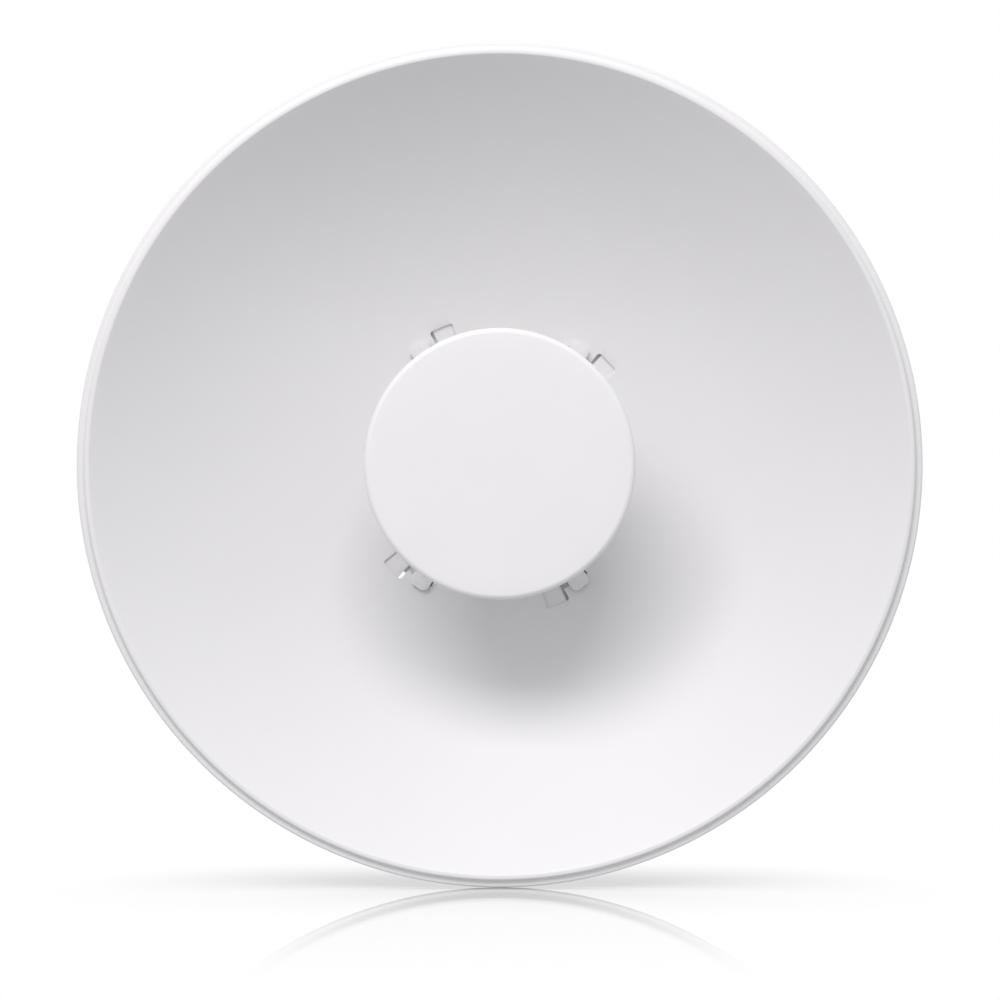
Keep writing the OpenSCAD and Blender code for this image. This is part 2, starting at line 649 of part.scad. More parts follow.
module tilt_ears() color(zinc) on_pole() difference() {
    union() {
        difference() {
            round_plate(-54, 54, -32, bay_top + 11, base_z, bay_z, 6);
            box(-ear_x + 2.3, ear_x - 2.3, -32 - cut, bay_top + 1, base_z - cut, bay_z + cut);
        }
        both_sides() translate([ear_x, 0, 0]) rotate([90, 0, 90]) linear_extrude(ear_t) hull() {
            translate([0, pivot_z]) circle(r = 11, $fn = 32);
            translate([lock_y, pivot_z]) circle(r = 7, $fn = 32);
            translate([-27, base_z]) square([54, ear_t]);
        }
    }
    rod_x(pivot_bolt_d/2 + bolt_gap, -ear_out_x - cut, ear_out_x + cut, 0, pivot_z);
    rod_x(lock_bolt_d/2 + bolt_gap, -ear_out_x - cut, ear_out_x + cut, lock_y, pivot_z);
    for (x = [-screw_x, screw_x], y = [-screw_y, screw_y]) translate([x, y, base_z - cut])
        cylinder(r = screw_d/2 + bolt_gap, h = ear_t + 2*cut);
}

module bracket_screws() color("silver") on_pole()
    for (x = [-screw_x, screw_x], y = [-screw_y, screw_y]) translate([x, y, base_z]) {
        cylinder(r = screw_d/2, h = ear_t + rear_t + screw_len - 2);
        difference() {
            rotate_extrude() polygon([[0, -2.8], [2.6, -2.8], [3.8, -1.6], [3.8, 0], [0, 0]]);
            translate([-0.5, -2.4, -2.8 - cut]) cube([1, 4.8, cut + 1.4]);
            translate([-2.4, -0.5, -2.8 - cut]) cube([4.8, 1, cut + 1.4]);
        }
    }

// Hexagonal head or nut along X; a positive way builds towards +X
module hex_x(across, x0, h, y, z) {
    translate([x0, y, z]) rotate([0, 90, 0]) cylinder(d = across/cos(30), h = h, $fn = 6);
}

module pivot_bolt() color(zinc) on_pole() {
    rod_x(pivot_bolt_d/2, -ear_out_x - washer_t - pivot_bolt_d - 1, ear_out_x + washer_t + eps, 0, pivot_z);
    hex_x(1.625*pivot_bolt_d, ear_out_x + washer_t, 0.65*pivot_bolt_d, 0, pivot_z);
}

module lock_bolt() color(zinc) on_pole() {
    rod_x(lock_bolt_d/2, -ear_out_x - washer_t - lock_bolt_d - 1, ear_out_x + washer_t + eps, lock_y,
        pivot_z);
    hex_x(1.67*lock_bolt_d, ear_out_x + washer_t, 0.65*lock_bolt_d, lock_y, pivot_z);
}

module pivot_nut() color(zinc) on_pole() difference() {
    hex_x(1.625*pivot_bolt_d, -ear_out_x - washer_t - 0.8*pivot_bolt_d, 0.8*pivot_bolt_d, 0, pivot_z);
    rod_x(pivot_bolt_d/2 + bolt_gap, -ear_out_x - 20, -ear_out_x, 0, pivot_z);
}

module lock_nut() color(zinc) on_pole() difference() {
    hex_x(1.67*lock_bolt_d, -ear_out_x - washer_t - 0.8*lock_bolt_d, 0.8*lock_bolt_d, lock_y, pivot_z);
    rod_x(lock_bolt_d/2 + bolt_gap, -ear_out_x - 20, -ear_out_x, lock_y, pivot_z);
}

module tilt_washers() color("silver") on_pole() both_sides() {
    difference() {
        rod_x(pivot_bolt_d, ear_out_x, ear_out_x + washer_t, 0, pivot_z);
        rod_x(pivot_bolt_d/2 + bolt_gap, ear_out_x - cut, ear_out_x + washer_t + cut, 0, pivot_z);
    }
    difference() {
        rod_x(lock_bolt_d, ear_out_x, ear_out_x + washer_t, lock_y, pivot_z);
        rod_x(lock_bolt_d/2 + bolt_gap, ear_out_x - cut, ear_out_x + washer_t + cut, lock_y, pivot_z);
    }
}

// Folded lip that holds the pole in a round notch; it spans y0 to y0 + plate_t
module pole_lip(y0, z0, z1) {
    difference() {
        box(-lip_half_w, lip_half_w, y0, y0 + plate_t, z0, z1);
        translate([0, y0 - cut, pole_z]) rotate([-90, 0, 0]) cylinder(r = clamp_r, h = plate_t + 2*cut);
    }
}

// Side plate of the pole bracket, with the pivot's hole and the lock bolt's arc slot
module side_plate() {
    difference() {
        translate([side_in_x, 0, 0]) rotate([90, 0, 90]) union() {
            linear_extrude(side_t) translate([-27, web_z - eps]) square([54, pivot_to_web + 6]);
            linear_extrude(side_t) translate([-21, web_z - eps]) square([42, pivot_to_web + 12]);
            for (y = [-21, 21]) translate([y, pivot_z + 6, 0]) cylinder(r = 6, h = side_t);
        }
        rod_x(pivot_bolt_d/2 + bolt_gap, side_in_x - cut, side_in_x + side_t + cut, 0, pivot_z);
        translate([side_in_x - cut, 0, pivot_z]) rotate([90, 0, 90]) {
            slot_half = tilt_max + 1;
            slot_r = lock_bolt_d/2 + fit_gap;
            rotate([0, 0, -slot_half]) rotate_extrude(angle = 2*slot_half)
                translate([lock_r - slot_r, 0]) square([2*slot_r, side_t + 2*cut]);
            for (a = [-slot_half, slot_half]) rotate([0, 0, a]) translate([lock_r, 0, 0])
                cylinder(r = slot_r, h = side_t + 2*cut);
        }
    }
}

module pole_bracket() color(zinc) on_pole() {
    difference() {
        round_plate(-clamp_w/2, clamp_w/2, -bracket_h/2, bracket_h/2, web_z - plate_t, web_z, 5);
        for (x = [-bolt_x, bolt_x]) box(x - clamp_bolt_d/2 - 0.1, x + clamp_bolt_d/2 + 0.1,
            -clamp_bolt_d/2 - 0.1, clamp_bolt_d/2 + 0.1, web_z - plate_t - cut, web_z + cut);
    }
    pole_lip(bracket_h/2 - plate_t, pole_z + saddle_reach, web_z - plate_t + eps);
    pole_lip(-bracket_h/2, pole_z + saddle_reach, web_z - plate_t + eps);
    both_sides() side_plate();
}

// Carriage bolts: a domed head, a square neck in the web and a round shank
module clamp_bolts() color(zinc) on_pole() for (x = [-bolt_x, bolt_x]) translate([x, 0, 0]) {
    translate([0, 0, web_z - clamp_bolt_len]) cylinder(r = clamp_bolt_d/2, h = clamp_bolt_len + eps);
    box(-clamp_bolt_d/2, clamp_bolt_d/2, -clamp_bolt_d/2, clamp_bolt_d/2, web_z - plate_t, web_z + eps);
    translate([0, 0, web_z]) rotate_extrude()
        polygon([[0, 0], [8.5, 0], [8.3, 1], [7, 2.6], [4.5, 3.9], [2, 4.4], [0, 4.5]]);
}

module clamp_jaw() color(zinc) on_pole() {
    difference() {
        round_plate(-clamp_w/2, clamp_w/2, -jaw_h/2, jaw_h/2, jaw_back_z, jaw_front_z, 5);
        for (x = [-bolt_x, bolt_x]) translate([x, 0, jaw_back_z - cut])
            cylinder(r = clamp_bolt_d/2 + fit_gap, h = plate_t + 2*cut);
    }
    pole_lip(jaw_h/2 - plate_t, jaw_front_z - eps, pole_z - saddle_reach);
    pole_lip(-jaw_h/2, jaw_front_z - eps, pole_z - saddle_reach);
}

module clamp_washers() color("silver") on_pole() for (x = [-bolt_x, bolt_x])
    translate([x, 0, jaw_back_z - washer_t]) difference() {
        cylinder(r = clamp_bolt_d, h = washer_t);
        translate([0, 0, -cut]) cylinder(r = clamp_bolt_d/2 + fit_gap, h = washer_t + 2*cut);
    }

module clamp_nuts() color(zinc) on_pole() for (x = [-bolt_x, bolt_x])
    translate([x, 0, jaw_back_z - washer_t - 0.85*clamp_bolt_d]) difference() {
        cylinder(d = 1.625*clamp_bolt_d/cos(30), h = 0.85*clamp_bolt_d, $fn = 6);
        translate([0, 0, -cut]) cylinder(r = clamp_bolt_d/2 + bolt_gap, h = clamp_bolt_d + 2*cut);
    }

dish_reflector();
hub();
rear_cover();
port_cover();
cable_grommet();
feed_cap();
feed_tube();
cap_seal();
spigot_seal();
sub_reflector();
radiator_board();
dipole_radiator();
radio_board();
radio_chips();
shield_can();
heat_spreader();
board_screws();
end_cap();
ethernet_jack();
reset_switch();
reset_button();
light_pipes();
latch_yoke();
release_button();
release_spring();
tilt_ears();
bracket_screws();
pivot_bolt();
pivot_nut();
lock_bolt();
lock_nut();
tilt_washers();
pole_bracket();
clamp_bolts();
clamp_jaw();
clamp_washers();
clamp_nuts();
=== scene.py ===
# Outdoor wireless bridge: a white parabolic dish around a flat round radio can, held from behind by a
# moulded hub on a tilting steel pole mount. It looks along -Y, and the pole runs up through the origin.
# The sections follow the object from the front to the back, then the parts inside it.

from math import asin, atan, atan2, cos, degrees, hypot, pi, radians, sin

import bmesh
import bpy
from mathutils import Matrix, Vector


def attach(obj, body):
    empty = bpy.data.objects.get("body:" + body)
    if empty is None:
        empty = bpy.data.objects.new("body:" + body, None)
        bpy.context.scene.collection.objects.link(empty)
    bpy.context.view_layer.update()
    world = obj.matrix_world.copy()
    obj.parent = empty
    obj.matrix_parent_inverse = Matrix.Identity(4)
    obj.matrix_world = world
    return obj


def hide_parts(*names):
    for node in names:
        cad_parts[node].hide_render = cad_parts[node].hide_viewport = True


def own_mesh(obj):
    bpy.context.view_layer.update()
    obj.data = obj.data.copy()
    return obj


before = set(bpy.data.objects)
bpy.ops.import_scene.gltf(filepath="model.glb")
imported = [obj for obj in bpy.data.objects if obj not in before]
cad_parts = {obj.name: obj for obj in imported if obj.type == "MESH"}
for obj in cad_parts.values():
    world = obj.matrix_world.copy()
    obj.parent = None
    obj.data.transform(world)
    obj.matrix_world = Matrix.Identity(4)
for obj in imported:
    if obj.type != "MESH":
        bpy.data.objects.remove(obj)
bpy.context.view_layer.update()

# Camera: the photograph looks straight at the dish from nearly 1.4 m in front of its rim, a little
# below its centre, through a lens of about 100 mm.
camera_data = bpy.data.cameras.new("camera")
camera_data.lens = 100
camera_data.sensor_width = 36
camera = bpy.data.objects.new("camera", camera_data)
camera.location = (0.00015, -1.5784, -0.01766)
camera.rotation_euler = (pi/2, 0, 0)
bpy.context.scene.collection.objects.link(camera)
bpy.context.scene.camera = camera
bpy.context.scene.view_settings.view_transform = "Standard"


def node(tree, kind, settings=None, **sockets):
    """Adds a shader node with its settings, and sets or links its sockets, named or numbered (i2)."""
    made = tree.nodes.new(kind)
    for name, value in (settings or {}).items():
        setattr(made, name, value)
    for name, value in sockets.items():
        by_number = name[0] == "i" and name[1:].isdigit()
        socket = made.inputs[int(name[1:]) if by_number else name.replace("_", " ")]
        if isinstance(value, bpy.types.NodeSocket):
            tree.links.new(value, socket)
        else:
            socket.default_value = value
    return made


def linear(code):
    """An sRGB hex colour as linear red, green, blue and alpha."""
    parts = [int(code[i:i + 2], 16)/255 for i in (1, 3, 5)]
    return [*(p/12.92 if p <= 0.04045 else ((p + 0.055)/1.055)**2.4 for p in parts), 1]


def two_tones(tree, factor, first, second):
    """A colour that runs from one sRGB hex colour to another as the factor grows."""
    mixed = node(tree, "ShaderNodeMix", {"data_type": "RGBA"}, Factor=factor, i6=linear(first),
                 i7=linear(second))
    return mixed.outputs["Result"]


# Studio: a wide strip softbox above and in front throws the can's soft shadow down the bowl, and an
# even tent fills the rest. The camera, metal and clear plastic see a plain white background.
def softbox(name, place, aim, width, height, power):
    """A rectangular lamp that faces a point."""
    lamp_data = bpy.data.lights.new(name, "AREA")
    lamp_data.shape = "RECTANGLE"
    lamp_data.size, lamp_data.size_y = width, height
    lamp_data.energy = power
    lamp_data.color = (1, 0.965, 0.98)
    lamp = bpy.data.objects.new(name, lamp_data)
    lamp.location = place
    lamp.rotation_euler = (Vector(aim) - Vector(place)).to_track_quat("-Z", "Y").to_euler()
    bpy.context.scene.collection.objects.link(lamp)


dish_middle = (0, -0.17, 0)
softbox("key", (-0.36, -1.80, 1.28), dish_middle, width=1.6, height=0.75, power=27.0)

studio = bpy.data.worlds.new("studio")
studio.use_nodes = True
bpy.context.scene.world = studio
tree = studio.node_tree
path = node(tree, "ShaderNodeLightPath").outputs
through = node(tree, "ShaderNodeMath", {"operation": "MAXIMUM"}, i0=path["Is Glossy Ray"],
               i1=path["Is Transmission Ray"])
tent = node(tree, "ShaderNodeBackground", Color=linear("#fbfbfd"), Strength=0.75)
white = node(tree, "ShaderNodeBackground", Color=(1, 1, 1, 1), Strength=1.0)
around = node(tree, "ShaderNodeMixShader", i0=through.outputs[0], i1=tent.outputs[0], i2=white.outputs[0])
around = node(tree, "ShaderNodeMixShader", i0=path["Is Camera Ray"], i1=around.outputs[0], i2=white.outputs[0])
tree.links.new(around.outputs[0], tree.nodes["World Output"].inputs["Surface"])

# Floor: a white sheet under the rim's lowest point. It is plain white to the camera, with painted shade close
# under the object's front where ambient occlusion finds the object near, and a faint polish in front of the
# rim.
# What a pose lowers beneath it still shows.
floor_z = -0.2101
floor_half = 9
floor_mesh = bmesh.new()
bmesh.ops.create_grid(floor_mesh, x_segments=1, y_segments=1, size=floor_half)
bmesh.ops.translate(floor_mesh, verts=floor_mesh.verts, vec=(0, 0, floor_z))
floor_data = bpy.data.meshes.new("floor")
floor_mesh.to_mesh(floor_data)
floor_mesh.free()
floor = bpy.data.objects.new("floor", floor_data)
bpy.context.scene.collection.objects.link(floor)

paper = bpy.data.materials.new("polished_white_sheet")
paper.use_nodes = True
tree = paper.node_tree
tree.nodes.clear()
path = node(tree, "ShaderNodeLightPath").outputs
place = node(tree, "ShaderNodeTexCoord").outputs["Object"]
depth = node(tree, "ShaderNodeSeparateXYZ", Vector=place).outputs["Y"]
# The polish starts 0.48 m in front of the pole, is full at 0.2 m and has gone at 0.08 m.
eased = {"interpolation_type": "SMOOTHSTEP"}
nearer = node(tree, "ShaderNodeMapRange", eased, Value=depth, From_Min=-0.48, From_Max=-0.2)
front = node(tree, "ShaderNodeMapRange", eased, Value=depth, From_Min=-0.08, From_Max=-0.2)
both = node(tree, "ShaderNodeMath", {"operation": "MULTIPLY"}, i0=nearer.outputs[0], i1=front.outputs[0])
polish = node(tree, "ShaderNodeMath", {"operation": "MULTIPLY"}, i0=both.outputs[0], i1=0.5)
bounce = node(tree, "ShaderNodeBsdfDiffuse", Color=two_tones(tree, nearer.outputs[0], "#888889", "#c6c6c8"))
# Painted shade: to the camera the floor darkens by ambient occlusion near the object, not by any lamp's
# shadow.
contact_occlusion = node(tree, "ShaderNodeAmbientOcclusion", {"samples": 16}, Distance=0.1)
painted_contact_shade = node(tree, "ShaderNodeMapRange", Value=contact_occlusion.outputs["AO"], From_Min=0.5, From_Max=1.0, To_Min=0.4,
             To_Max=1.0)
painted_floor_shade = node(tree, "ShaderNodeMix", {"data_type": "FLOAT"}, Factor=front.outputs[0], i2=1.0,
                   i3=painted_contact_shade.outputs[0])
clear = node(tree, "ShaderNodeBsdfTransparent", Color=painted_floor_shade.outputs[0])
mirror = node(tree, "ShaderNodeBsdfGlossy", Color=(1, 1, 1, 1), Roughness=0.02)
seen = node(tree, "ShaderNodeMixShader", i0=polish.outputs[0], i1=clear.outputs[0], i2=mirror.outputs[0])
above = node(tree, "ShaderNodeMixShader", i0=path["Is Camera Ray"], i1=bounce.outputs[0], i2=seen.outputs[0])
below = node(tree, "ShaderNodeNewGeometry").outputs["Backfacing"]
unseen = node(tree, "ShaderNodeBsdfTransparent")
floor_look = node(tree, "ShaderNodeMixShader", i0=below, i1=above.outputs[0], i2=unseen.outputs[0])
node(tree, "ShaderNodeOutputMaterial", Surface=floor_look.outputs[0])
floor_data.materials.append(paper)

# Dish reflector: one sheet of 1 mm steel spun into a paraboloid, with a stepped rim rolled at its edge
# and four punched openings for the hub's hooks. White powder coat covers it all.
mm = 0.001
pole_y = -115.65      # where the pole's axis lies behind the dish's vertex, in mm
steel_frame = Matrix.Translation((0, pole_y*mm, 0)) @ Matrix.Rotation(pi/2, 4, "X") @ Matrix.Scale(mm, 4)


def spun(shape, row, angle, steps, rise=0.0, merge=False):
    """Spins a row of points and edges round Z, with a rise at each step, and returns the last row."""
    return bmesh.ops.spin(shape, geom=row, cent=(0, 0, 0), axis=(0, 0, 1), dvec=(0, 0, rise), angle=angle,
                          steps=steps, use_merge=merge, use_duplicate=False)["geom_last"]


def lathe(profile, steps, closed=False):
    """Spins a line of (radius, height) points once round Z, in mm."""
    shape = bmesh.new()
    points = [shape.verts.new((r, 0, h)) for r, h in profile]
    edges = [shape.edges.new(pair) for pair in zip(points, points[1:])]
    if closed:
        edges.append(shape.edges.new((points[-1], points[0])))
    spun(shape, points + edges, 2*pi, steps, merge=True)
    bmesh.ops.remove_doubles(shape, verts=shape.verts, dist=0.001)
    bmesh.ops.recalc_face_normals(shape, faces=shape.faces)
    return shape


def soften(shape, width, angle=35):
    """Rounds every edge that turns more than the angle."""
    sharp = [e for e in shape.edges if len(e.link_faces) == 2 and e.calc_face_angle(0) > radians(angle)]
    bmesh.ops.bevel(shape, geom=sharp, offset=width, offset_type="OFFSET", segments=2, profile=0.5,
                    affect="EDGES", clamp_overlap=True, material=-1)


def placed(shape, *steps):
    """Moves a shape by the product of some matrices."""
    total = Matrix.Identity(4)
    for step in steps:
        total = total @ step
    bmesh.ops.transform(shape, matrix=total, verts=shape.verts)
    return shape


upright = Matrix.Rotation(-pi/2, 4, "X")      # stands a shape drawn on Z along the pole


def piece(name, shape, material, body, cad_node, to_frame=steel_frame):
    """Puts a shape drawn in the dish's own frame, in mm, into the object in place of a CAD node."""
    mesh = bpy.data.meshes.new(name)
    placed(shape, to_frame).to_mesh(mesh)
    shape.free()
    mesh.materials.append(material)
    mesh.polygons.foreach_set("use_smooth", [True]*len(mesh.polygons))
    mesh.set_sharp_from_angle(angle=radians(30))
    made = bpy.data.objects.new(name, mesh)
    bpy.context.scene.collection.objects.link(made)
    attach(made, body)
    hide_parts(cad_node)
    return made


def finish_of(name, colour, roughness, metallic=0.0, **sockets):
    """A material with one Principled shader, with its tree, its shader and the place on the piece."""
    material = bpy.data.materials.new(name)
    material.use_nodes = True
    tree = material.node_tree
    shader = tree.nodes["Principled BSDF"]
    shader.inputs["Base Color"].default_value = linear(colour)
    shader.inputs["Roughness"].default_value = roughness
    shader.inputs["Metallic"].default_value = metallic
    for socket, value in sockets.items():
        shader.inputs[socket.replace("_", " ")].default_value = value
    return material, tree, shader, node(tree, "ShaderNodeTexCoord").outputs["Object"]


def connect(tree, shader, **sockets):
    """Links outputs to a shader's sockets."""
    for name, output in sockets.items():
        tree.links.new(output, shader.inputs[name.replace("_", " ")])


def bowl(r):
    """Height of the bowl's face over its vertex, at a radius."""
    return r*r/(4*focal)


def arc(centre_r, centre_z, radius, start, end, steps=6):
    """Points of a lathe's line along an arc, from one angle to another."""
    turns = [radians(start + (end - start)*i/steps) for i in range(steps + 1)]
    return [(centre_r + radius*cos(t), centre_z + radius*sin(t)) for t in turns]


# The rim: the bowl bends into a narrow flat ring, steps back to a flange and turns down into a hem.
focal, sheet, rim_r = 118, 1.0, 210
ring_w, flange_w, step_h, fillet, hem = 0.8, 1, 0.2, 1.6, 1.4
bend = sheet + 0.3
step_r = rim_r - bend - flange_w - fillet
edge_guess = step_r - bend - ring_w
bowl_edge = edge_guess - bend*sin(atan(edge_guess/(2*focal)))
rim_angle = degrees(atan(bowl_edge/(2*focal)))
ring_z = bowl(bowl_edge) + bend*(1 - cos(radians(rim_angle)))
flange_z = ring_z - bend - step_h - fillet

# The openings: a hook's head comes through one, and its stem runs along the narrow slot beside it as the
# sheet turns under the head. Angles are in degrees from the middle of a hook.
hook_angles = (55.5, 124.5, 235.5, 304.5)
hook_w, hook_out, unlock_turn, side_gap = 10.4, 76.5, 11.4, 0.7
hook_half = degrees(asin(hook_w/2/hook_out))
opening_near = -(unlock_turn - hook_half - side_gap)
opening_far = -(unlock_turn + hook_half + side_gap)
slot_end = hook_half + 0.9
opening_in, slot_out, opening_out, corner_r = 69.0, 72.3, 78.6, 1.3
corner_from = opening_out - corner_r

plain_from = 83        # outside this radius the bowl has no openings, and even rows of faces
bowl_radii = [40, 47, 54, 61, 66, opening_in, slot_out, 75.0, corner_from, opening_out, plain_from]
bowl_radii += [plain_from + (bowl_edge - plain_from)*i/24 for i in range(1, 24)]
sheet_line = [(r, bowl(r)) for r in bowl_radii]
sheet_line += arc(bowl_edge + bend*sin(radians(rim_angle)), ring_z - bend, bend, 90 + rim_angle, 90)
sheet_line += arc(step_r - bend, ring_z - bend, bend, 90, 0)
sheet_line += arc(step_r + fillet, flange_z + fillet, fillet, 180, 270)
sheet_line += arc(rim_r - bend, flange_z - bend, bend, 90, 0)
sheet_line += [(rim_r, flange_z - bend - hem)]

dish = bmesh.new()
first = radians(hook_angles[0] + opening_far)
row = [dish.verts.new((r*cos(first), r*sin(first), z)) for r, z in sheet_line]
row += [dish.edges.new(pair) for pair in zip(row, row[1:])]
turns = []
for this, after in zip(hook_angles, hook_angles[1:] + (hook_angles[0] + 360,)):
    turns += [opening_near - opening_far, -opening_near + slot_end, after + opening_far - this - slot_end]
for turn in turns:
    row = spun(dish, row, radians(turn), max(2, round(turn)))
bmesh.ops.remove_doubles(dish, verts=dish.verts, dist=0.001)
punched = []
for face in dish.faces:
    middle = face.calc_center_median()
    radius = hypot(middle.x, middle.y)
    for hook in hook_angles:
        turn = (degrees(atan2(middle.y, middle.x)) - hook + 180) % 360 - 180
        in_opening = opening_far < turn < opening_near and opening_in < radius < opening_out
        in_slot = opening_near < turn < slot_end and opening_in < radius < slot_out
        if in_opening or in_slot:
            punched.append(face)
bmesh.ops.delete(dish, geom=punched, context="FACES")

# The punch rounds the two outer corners of each opening. A fan of small faces fills each, one column of
# the bowl's faces wide.
column = (opening_near - opening_far)/round(opening_near - opening_far)
quarter = [pi/10*i for i in range(6)]
for hook in hook_angles:
    for corner, way in ((opening_far, 1), (opening_near, -1)):
        fan = [(opening_out, corner)]
        fan += [(corner_from + corner_r*sin(t), corner + way*column*(1 - cos(t))) for t in quarter]
        fan = [(r, radians(hook + turn)) for r, turn in fan]
        fan = [dish.verts.new((r*cos(t), r*sin(t), bowl(r))) for r, t in fan]
        for here, after in zip(fan[1:], fan[2:]):
            dish.faces.new((fan[0], here, after))
bmesh.ops.remove_doubles(dish, verts=dish.verts, dist=0.002)
bmesh.ops.recalc_face_normals(dish, faces=dish.faces)
if sum(f.normal.z for f in dish.faces) < 0:
    bmesh.ops.reverse_faces(dish, faces=dish.faces)
bmesh.ops.solidify(dish, geom=dish.faces, thickness=sheet)
soften(dish, 0.22, angle=60)

# Powder coat: polyester powder baked on steel. It gives the eye a soft even white with a very fine
# orange peel, about 1.4 mm from bump to bump, and a broad low sheen.
powder_coat, tree, shader, place = finish_of("white_powder_coat", "#e6e6e6", 0.48)
thickness = node(tree, "ShaderNodeTexNoise", Vector=place, Scale=1/(90*mm), Detail=2.0)
tone = two_tones(tree, thickness.outputs["Fac"], "#e4e4e4", "#e8e8e8")
peel = node(tree, "ShaderNodeTexNoise", Vector=place, Scale=1/(1.4*mm), Detail=1.5, Roughness=0.4)
bump = node(tree, "ShaderNodeBump", Strength=0.25, Distance=0.02*mm, Height=peel.outputs["Fac"])
sheen = node(tree, "ShaderNodeMapRange", Value=peel.outputs["Fac"], To_Min=0.44, To_Max=0.52)
connect(tree, shader, Base_Color=tone, Roughness=sheen.outputs[0], Normal=bump.outputs[0])
piece("dish_sheet", dish, powder_coat, "dish", "dish_reflector")

# Feed cap: the can's flat front, moulded in white UV-stable ABS with a spark-eroded face. It pushes
# over the feed tube's lap.
can_r, can_front, cap_back, wall = 66.25, 112, 88, 2.3
front_r, back_r = 2.7, 0.35       # rounding of the cap's front edge and of its back edge
cap_line = [(0, can_front), (20, can_front), (40, can_front), (55, can_front)]
cap_line += arc(can_r - front_r, can_front - front_r, front_r, 90, 0, 10)
cap_line += [(can_r, cap_back + back_r)] + arc(can_r - back_r, cap_back + back_r, back_r, 0, -90, 3)
cap_line += [(can_r - wall, cap_back), (can_r - wall, can_front - wall), (0, can_front - wall)]
cap = lathe(cap_line, 256)
abs_face, tree, shader, place = finish_of("white_spark_eroded_abs", "#eeeeee", 0.5)
grit = node(tree, "ShaderNodeTexNoise", Vector=place, Scale=1/(0.8*mm), Detail=2.0, Roughness=0.6)
cloud = node(tree, "ShaderNodeTexNoise", Vector=place, Scale=1/(30*mm), Detail=3.0)
tone = two_tones(tree, cloud.outputs["Fac"], "#ececec", "#f0f0f0")
bump = node(tree, "ShaderNodeBump", Strength=0.35, Distance=0.02*mm, Height=grit.outputs["Fac"])
connect(tree, shader, Base_Color=tone, Normal=bump.outputs[0])
piece("cap", cap, abs_face, "hub_assembly", "feed_cap")

# Feed tube: one ABS moulding of the can's back, the tapered neck and the spigot that plugs into the hub.
# Its line runs up the outside from the spigot's foot and comes down the inside.
spigot_r, spigot_in, spigot_foot = 30, 26, -36
lap_out, lap_in, lap_h = 63.65, 61.35, 6
tube_line = [(spigot_in, spigot_foot), (spigot_r - 0.8, spigot_foot), (spigot_r, spigot_foot + 0.8)]
# Groove for the latch yoke, groove for the seal, and the neck.
tube_line += [(spigot_r, -25), (28, -25), (28, -21), (spigot_r, -21)]
tube_line += [(spigot_r, -9.8), (28.2, -9.8), (28.2, -7.2), (spigot_r, -7.2)]
tube_line += [(spigot_r, 2), (36, 2), (36, 6), (33, 72), (34.5, 75.5), (36.3, 78)]
# The can's back and edge, and the lap that the cap pushes over.
tube_line += [(can_r - 5, cap_back - 5), (can_r - 1, cap_back - 3.4), (can_r - 0.2, cap_back - 2.8)]
tube_line += [(can_r, cap_back - 2.2), (can_r, cap_back - 0.3), (can_r - 0.3, cap_back)]
tube_line += [(lap_out, cap_back), (lap_out, cap_back + lap_h), (lap_in, cap_back + lap_h)]
tube_line += [(lap_in, cap_back - 0.8), (can_r - 6, cap_back - 2.2), (34, 80.5), (34, 76)]
tube_line += [(30.7, 76), (30.7, 72), (33.7, 6.5), (spigot_in, 0)]
tube = lathe(tube_line, 160, closed=True)
soften(tube, 0.25)
piece("tube", tube, abs_face, "hub_assembly", "feed_tube")

# Hub: one ABS moulding behind the dish, whose flange follows the bowl. Four hooks stand through the
# sheet and hold it once it is turned.
def softened_copy(node_name, width):
    """A CAD node's mesh, merged into clean faces with its edges rounded, in metres."""
    shape = bmesh.new()
    shape.from_mesh(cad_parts[node_name].data)
    bmesh.ops.remove_doubles(shape, verts=shape.verts, dist=0.000005)
    bmesh.ops.dissolve_limit(shape, angle_limit=radians(0.5), use_dissolve_boundaries=False,
                             verts=shape.verts, edges=shape.edges, delimit={"NORMAL"})
    soften(shape, width*mm)
    return shape


abs_shell, tree, shader, place = finish_of("white_moulded_abs", "#e9e9e9", 0.46)
grain = node(tree, "ShaderNodeTexNoise", Vector=place, Scale=1/(0.9*mm), Detail=2.0)
cloud = node(tree, "ShaderNodeTexNoise", Vector=place, Scale=1/(40*mm), Detail=3.0)
tone = two_tones(tree, cloud.outputs["Fac"], "#e7e7e7", "#ebebeb")
bump = node(tree, "ShaderNodeBump", Strength=0.3, Distance=0.02*mm, Height=grain.outputs["Fac"])
connect(tree, shader, Base_Color=tone, Normal=bump.outputs[0])
straight = Matrix.Identity(4)


def softened_piece(name, cad_node, width, material, body):
    """A piece with a CAD node's own shape and rounded edges."""
    return piece(name, softened_copy(cad_node, width), material, body, cad_node, to_frame=straight)


def shade_round(made, least_slope=0.4, least_round=0.995, most_sag=0.0005):
    """Gives the cones and cylinders about the dish's axis the true normals of a round wall."""
    mesh = made.data
    normals = [(0.0, 0.0, 0.0)]*len(mesh.loops)
    for face in mesh.polygons:
        radius = hypot(face.center.x, face.center.z)
        slope = (face.normal.x*face.center.x + face.normal.z*face.center.z)/max(radius, 1e-6)
        if abs(slope) < least_slope or hypot(slope, face.normal.y) < least_round:
            continue
        walls = []
        for loop in face.loop_indices:
            x, y, z = mesh.vertices[mesh.loops[loop].vertex_index].co
            spot = hypot(x, z)
            if abs((spot - radius)*slope + (y - face.center.y)*face.normal.y) < most_sag:
                walls.append((loop, Vector((x/spot*slope, face.normal.y, z/spot*slope)).normalized()))
        if len(walls) == face.loop_total:
            for loop, normal in walls:
                normals[loop] = normal
    mesh.normals_split_custom_set(normals)


hub_moulding = softened_piece("hub_moulding", "hub", 0.3, abs_shell, "hub_assembly")
shade_round(hub_moulding)

# Rear cover and port cover: ABS mouldings that close the hub and the port bay.
softened_piece("rear_shell", "rear_cover", 0.35, abs_shell, "hub_assembly")
softened_piece("port_shell", "port_cover", 0.4, abs_shell, "cover")

